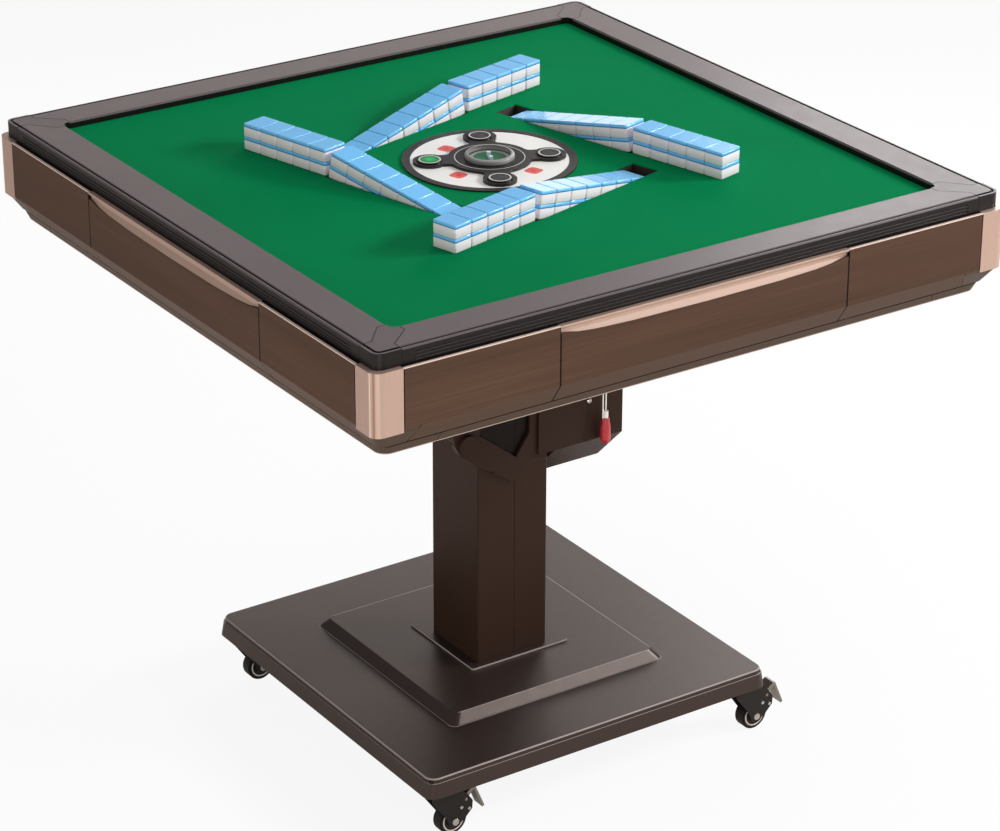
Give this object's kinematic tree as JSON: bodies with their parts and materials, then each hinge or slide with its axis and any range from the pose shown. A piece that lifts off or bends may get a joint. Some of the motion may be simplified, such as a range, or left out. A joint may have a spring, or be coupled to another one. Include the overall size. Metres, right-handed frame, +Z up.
{
  "type": "automatic mahjong table",
  "caption": "Square powered mahjong table with a drawer in each side, sloped tile lanes, a centre console and a folding column on a caster base.",
  "frame": {"origin": "on the floor under the middle of the table", "axes": "+Z up, -Y out of the side with the drawer that faces right in the picture, -X out of the other"},
  "size_m": [0.9, 0.9, 0.8059],
  "materials": {
    "base_paint": "satin grey-brown powder coat",
    "column_paint": "satin dark brown powder coat",
    "bright_steel": "plain steel",
    "caster_steel": "black stamped steel",
    "caster_tyre": "black wheel with a silver ring",
    "pedal_plate": "grey stamped steel",
    "rim_plastic": "grey, darker banded edge",
    "corner_plastic": "grey",
    "champagne": "champagne satin",
    "dark_plastic": "dark grey-brown",
    "wood_panel": "dark brown straight grain",
    "board_wood": "plain board",
    "green_felt": "green felt",
    "black_plastic": "black",
    "tile_resin": "white with a blue back layer",
    "console_grey": "dark grey",
    "console_white": "pale",
    "button_cap": "pale button caps",
    "clear_dome": "clear plastic cap",
    "dice_green": "green plate with pale dice",
    "disc_plastic": "grey",
    "grip_red": "red grip on steel wires"
  },
  "bodies": {
    "base": {"base_cover": "base_paint", "base_plate": "base_paint", "caster_plates": "bright_steel", "column_flange": "base_paint", "column_left_channel": "column_paint", "column_right_channel": "column_paint", "head_cheeks": "column_paint", "pivot_pin": "bright_steel"},
    "table": {"tilt_frame": "column_paint", "machine_pan": "column_paint", "bottom_tray": "dark_plastic", "bottom_corners": "dark_plastic", "top_rails": "rim_plastic", "top_corners": "corner_plastic", "corner_posts": "champagne", "side_panels": "wood_panel", "play_board": "board_wood", "felt_sheet": "green_felt", "lane_troughs": "black_plastic", "wall_tiles": "tile_resin", "console_bezel": "console_grey", "shuffle_motor": "black_plastic"},
    "shuffler": {"shuffle_disc": "disc_plastic"},
    "grip": {"release_grip": "grip_red"},
    "console": {"console_body": "console_white", "console_hub": "console_grey", "console_dome": "clear_dome"},
    "dice": {"dice_plate": "dice_green"},
    "caster_1": {"caster_fork_1": "caster_steel"},
    "wheel_1": {"caster_wheel_1": "caster_tyre"},
    "pedal_1": {"caster_pedal_1": "pedal_plate"},
    "drawer_1": {"drawer_box_1": "wood_panel", "drawer_pull_1": "champagne"},
    "ramp_1": {"ramp_flap_1": "black_plastic", "ramp_tiles_1": "tile_resin"},
    "button_1": {"console_button_1": "button_cap"},
    "caster_2": {"caster_fork_2": "caster_steel"},
    "wheel_2": {"caster_wheel_2": "caster_tyre"},
    "pedal_2": {"caster_pedal_2": "pedal_plate"},
    "drawer_2": {"drawer_box_2": "wood_panel", "drawer_pull_2": "champagne"},
    "ramp_2": {"ramp_flap_2": "black_plastic", "ramp_tiles_2": "tile_resin"},
    "button_2": {"console_button_2": "button_cap"},
    "caster_3": {"caster_fork_3": "caster_steel"},
    "wheel_3": {"caster_wheel_3": "caster_tyre"},
    "pedal_3": {"caster_pedal_3": "pedal_plate"},
    "drawer_3": {"drawer_box_3": "wood_panel", "drawer_pull_3": "champagne"},
    "ramp_3": {"ramp_flap_3": "black_plastic", "ramp_tiles_3": "tile_resin"},
    "button_3": {"console_button_3": "button_cap"},
    "caster_4": {"caster_fork_4": "caster_steel"},
    "wheel_4": {"caster_wheel_4": "caster_tyre"},
    "pedal_4": {"caster_pedal_4": "pedal_plate"},
    "drawer_4": {"drawer_box_4": "wood_panel", "drawer_pull_4": "champagne"},
    "ramp_4": {"ramp_flap_4": "black_plastic", "ramp_tiles_4": "tile_resin"},
    "button_4": {"console_button_4": "button_cap"}
  },
  "joints": [
    {"name": "table_fold", "type": "hinge", "parent": "base", "child": "table", "pos_m": [-0.085, 0, 0.436], "axis": [0, -1, 0], "range_deg": [0, 90]},
    {"name": "shuffle_spin", "type": "hinge", "parent": "table", "child": "shuffler", "pos_m": [0, 0, 0.69], "axis": [0, 0, 1], "continuous": true},
    {"name": "release_pull", "type": "slide", "parent": "table", "child": "grip", "axis": [0, 0, -1], "range_m": [0, 0.015], "stiffness_N_per_m": 60, "springref_m": -0.02},
    {"name": "console_lift", "type": "slide", "parent": "table", "child": "console", "axis": [0, 0, 1], "range_m": [0, 0.045]},
    {"name": "dice_spin", "type": "hinge", "parent": "console", "child": "dice", "pos_m": [0, 0, 0.775], "axis": [0, 0, 1], "continuous": true},
    {"name": "caster_swivel_1", "type": "hinge", "parent": "base", "child": "caster_1", "pos_m": [-0.236, -0.236, 0.065], "axis": [0, 0, 1], "continuous": true},
    {"name": "wheel_spin_1", "type": "hinge", "parent": "caster_1", "child": "wheel_1", "pos_m": [-0.216, -0.236, 0.02], "axis": [0, 1, 0], "continuous": true},
    {"name": "brake_press_1", "type": "hinge", "parent": "caster_1", "child": "pedal_1", "pos_m": [-0.1995, -0.236, 0.047], "axis": [0, 1, 0], "range_deg": [0, 8]},
    {"name": "drawer_slide_1", "type": "slide", "parent": "table", "child": "drawer_1", "axis": [0, -1, 0], "range_m": [0, 0.1]},
    {"name": "ramp_lift_1", "type": "hinge", "parent": "table", "child": "ramp_1", "pos_m": [-0.0678, -0.17918, 0.7665], "axis": [0.2504, -0.9681, 0], "range_deg": [0, 10.6]},
    {"name": "button_press_1", "type": "slide", "parent": "console", "child": "button_1", "axis": [0, 0, -1], "range_m": [0, 0.002], "stiffness_N_per_m": 300, "springref_m": -0.002},
    {"name": "caster_swivel_2", "type": "hinge", "parent": "base", "child": "caster_2", "pos_m": [0.236, -0.236, 0.065], "axis": [0, 0, 1], "continuous": true},
    {"name": "wheel_spin_2", "type": "hinge", "parent": "caster_2", "child": "wheel_2", "pos_m": [0.256, -0.236, 0.02], "axis": [0, 1, 0], "continuous": true},
    {"name": "brake_press_2", "type": "hinge", "parent": "caster_2", "child": "pedal_2", "pos_m": [0.2725, -0.236, 0.047], "axis": [0, 1, 0], "range_deg": [0, 8]},
    {"name": "drawer_slide_2", "type": "slide", "parent": "table", "child": "drawer_2", "axis": [1, 0, 0], "range_m": [0, 0.1]},
    {"name": "ramp_lift_2", "type": "hinge", "parent": "table", "child": "ramp_2", "pos_m": [0.17918, -0.0678, 0.7665], "axis": [0.9681, 0.2504, 0], "range_deg": [0, 10.6]},
    {"name": "button_press_2", "type": "slide", "parent": "console", "child": "button_2", "axis": [0, 0, -1], "range_m": [0, 0.002], "stiffness_N_per_m": 300, "springref_m": -0.002},
    {"name": "caster_swivel_3", "type": "hinge", "parent": "base", "child": "caster_3", "pos_m": [0.236, 0.236, 0.065], "axis": [0, 0, 1], "continuous": true},
    {"name": "wheel_spin_3", "type": "hinge", "parent": "caster_3", "child": "wheel_3", "pos_m": [0.256, 0.236, 0.02], "axis": [0, 1, 0], "continuous": true},
    {"name": "brake_press_3", "type": "hinge", "parent": "caster_3", "child": "pedal_3", "pos_m": [0.2725, 0.236, 0.047], "axis": [0, 1, 0], "range_deg": [0, 8]},
    {"name": "drawer_slide_3", "type": "slide", "parent": "table", "child": "drawer_3", "axis": [0, 1, 0], "range_m": [0, 0.1]},
    {"name": "ramp_lift_3", "type": "hinge", "parent": "table", "child": "ramp_3", "pos_m": [0.0678, 0.17918, 0.7665], "axis": [-0.2504, 0.9681, 0], "range_deg": [0, 10.6]},
    {"name": "button_press_3", "type": "slide", "parent": "console", "child": "button_3", "axis": [0, 0, -1], "range_m": [0, 0.002], "stiffness_N_per_m": 300, "springref_m": -0.002},
    {"name": "caster_swivel_4", "type": "hinge", "parent": "base", "child": "caster_4", "pos_m": [-0.236, 0.236, 0.065], "axis": [0, 0, 1], "continuous": true},
    {"name": "wheel_spin_4", "type": "hinge", "parent": "caster_4", "child": "wheel_4", "pos_m": [-0.216, 0.236, 0.02], "axis": [0, 1, 0], "continuous": true},
    {"name": "brake_press_4", "type": "hinge", "parent": "caster_4", "child": "pedal_4", "pos_m": [-0.1995, 0.236, 0.047], "axis": [0, 1, 0], "range_deg": [0, 8]},
    {"name": "drawer_slide_4", "type": "slide", "parent": "table", "child": "drawer_4", "axis": [-1, 0, 0], "range_m": [0, 0.1]},
    {"name": "ramp_lift_4", "type": "hinge", "parent": "table", "child": "ramp_4", "pos_m": [-0.17918, 0.0678, 0.7665], "axis": [-0.9681, -0.2504, 0], "range_deg": [0, 10.6]},
    {"name": "button_press_4", "type": "slide", "parent": "console", "child": "button_4", "axis": [0, 0, -1], "range_m": [0, 0.002], "stiffness_N_per_m": 300, "springref_m": -0.002}
  ]
}
